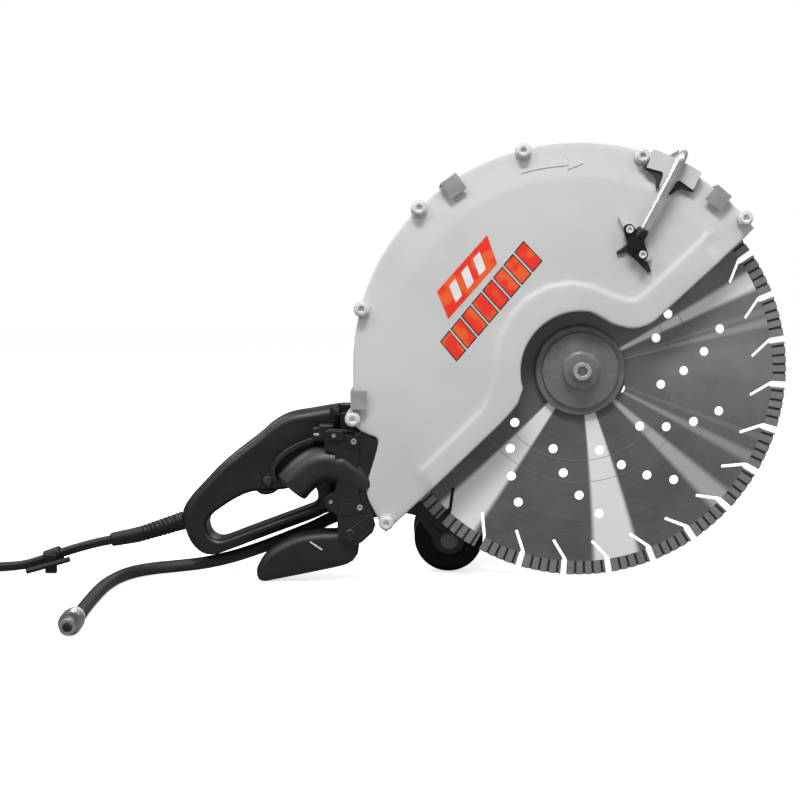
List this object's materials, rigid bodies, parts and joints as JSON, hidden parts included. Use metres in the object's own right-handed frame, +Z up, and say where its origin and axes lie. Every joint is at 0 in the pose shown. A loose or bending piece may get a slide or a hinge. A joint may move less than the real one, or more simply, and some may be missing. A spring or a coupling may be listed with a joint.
{
  "type": "concrete cut-off saw",
  "caption": "Hand-held electric saw for concrete: a segmented diamond blade under a bolted guard, with motor, gearbox, handles, dust elbow, debris shoe and guide wheels.",
  "frame": {"origin": "midway under the saw at floor level, measured without the free mains cord and water hose", "axes": "+X forward, towards the guard's front tip; +Y away from the blade's clamping bolt, towards the motor; +Z up"},
  "size_m": [0.964, 0.4969, 0.4284],
  "materials": {
    "guard_paint": "light grey satin paint",
    "blade_steel": "ground",
    "machined_steel": "machined",
    "zinc_screw": "zinc plated",
    "cast_aluminium": "dark powder coat",
    "black_plastic": "fine texture",
    "black_rubber": "matt",
    "tyre_rubber": "matt",
    "motor_iron": "iron core with copper windings",
    "brass_fitting": "turned",
    "switch_grey": "moulded"
  },
  "bodies": {
    "machine": {"arbor_bearing_front": "machined_steel", "arbor_bearing_rear": "machined_steel", "chute_screw_1": "zinc_screw", "chute_screw_2": "zinc_screw", "cord_coil": "black_rubber", "cord_sleeve": "black_rubber", "cover_screw_1": "zinc_screw", "cover_screw_2": "zinc_screw", "cover_screw_3": "zinc_screw", "cover_screw_4": "zinc_screw", "cover_screw_5": "zinc_screw", "cover_screw_6": "zinc_screw", "cover_screw_7": "zinc_screw", "dust_elbow": "black_rubber", "elbow_clamp": "zinc_screw", "front_grip": "black_rubber", "front_handle": "cast_aluminium", "gear_case": "cast_aluminium", "gear_case_lid": "cast_aluminium", "guard_back": "guard_paint", "guard_cover": "guard_paint", "handle_shell_far": "black_plastic", "handle_shell_near": "black_plastic", "hex_key": "zinc_screw", "hose_coupler": "brass_fitting", "key_holder": "black_rubber", "motor_end_cap": "black_plastic", "motor_housing": "cast_aluminium", "nozzle_block": "black_plastic", "nozzle_screw_1": "zinc_screw", "nozzle_screw_2": "zinc_screw", "pipe_saddle": "zinc_screw", "plug": "black_rubber", "power_cord": "black_rubber", "rear_chute": "black_plastic", "rear_frame": "cast_aluminium", "rim_clip_1": "zinc_screw", "rim_clip_2": "zinc_screw", "rim_clip_3": "zinc_screw", "shoe_pin": "zinc_screw", "stator": "motor_iron", "switch_block": "switch_grey", "water_hose": "black_rubber", "water_inlet": "brass_fitting", "water_line": "black_rubber", "water_pipe": "zinc_screw", "wheel_axle": "zinc_screw"},
    "blade_set": {"blade": "blade_steel", "outer_flange": "machined_steel", "inner_flange": "machined_steel", "blade_bolt": "zinc_screw", "arbor_shaft": "machined_steel", "output_gear": "machined_steel"},
    "idler": {"idler_gear": "machined_steel"},
    "rotor": {"armature": "motor_iron"},
    "near_wheel": {"wheel_near": "tyre_rubber"},
    "far_wheel": {"wheel_far": "tyre_rubber"},
    "shoe": {"debris_shoe": "black_rubber"},
    "trigger_lever": {"trigger": "black_plastic"},
    "lock": {"lock_button": "black_plastic"}
  },
  "joints": [
    {"name": "blade_spin", "type": "hinge", "parent": "machine", "child": "blade_set", "pos_m": [0.1336, -0.0898, 0.207], "axis": [0, 1, 0], "continuous": true},
    {"name": "idler_spin", "type": "hinge", "parent": "machine", "child": "idler", "pos_m": [0.07187, -0.0438, 0.2128], "axis": [0, 1, 0], "continuous": true},
    {"name": "armature_spin", "type": "hinge", "parent": "machine", "child": "rotor", "pos_m": [0.0386, 0.0302, 0.235], "axis": [0, 1, 0], "continuous": true},
    {"name": "wheel_near_spin", "type": "hinge", "parent": "machine", "child": "near_wheel", "pos_m": [0.0066, -0.0428, 0.035], "axis": [0, 1, 0], "continuous": true},
    {"name": "wheel_far_spin", "type": "hinge", "parent": "machine", "child": "far_wheel", "pos_m": [0.0066, 0.0172, 0.035], "axis": [0, 1, 0], "continuous": true},
    {"name": "shoe_pivot", "type": "hinge", "parent": "machine", "child": "shoe", "pos_m": [-0.0919, -0.0928, 0.047], "axis": [0, -1, 0], "range_deg": [0, 25]},
    {"name": "trigger_pull", "type": "hinge", "parent": "machine", "child": "trigger_lever", "pos_m": [-0.1589, -0.0588, 0.104], "axis": [0, 1, 0], "range_deg": [0, 9], "stiffness_Nm_per_rad": 0.8, "springref_deg": -6.88},
    {"name": "lock_button_press", "type": "slide", "parent": "machine", "child": "lock", "axis": [0, 1, 0], "range_m": [0, 0.002], "stiffness_N_per_m": 600, "springref_m": -0.001}
  ],
  "couplings": [
    {"joint": "idler_spin", "follows": "blade_spin", "ratio": -1.2143},
    {"joint": "armature_spin", "follows": "blade_spin", "ratio": 2.8333}
  ]
}
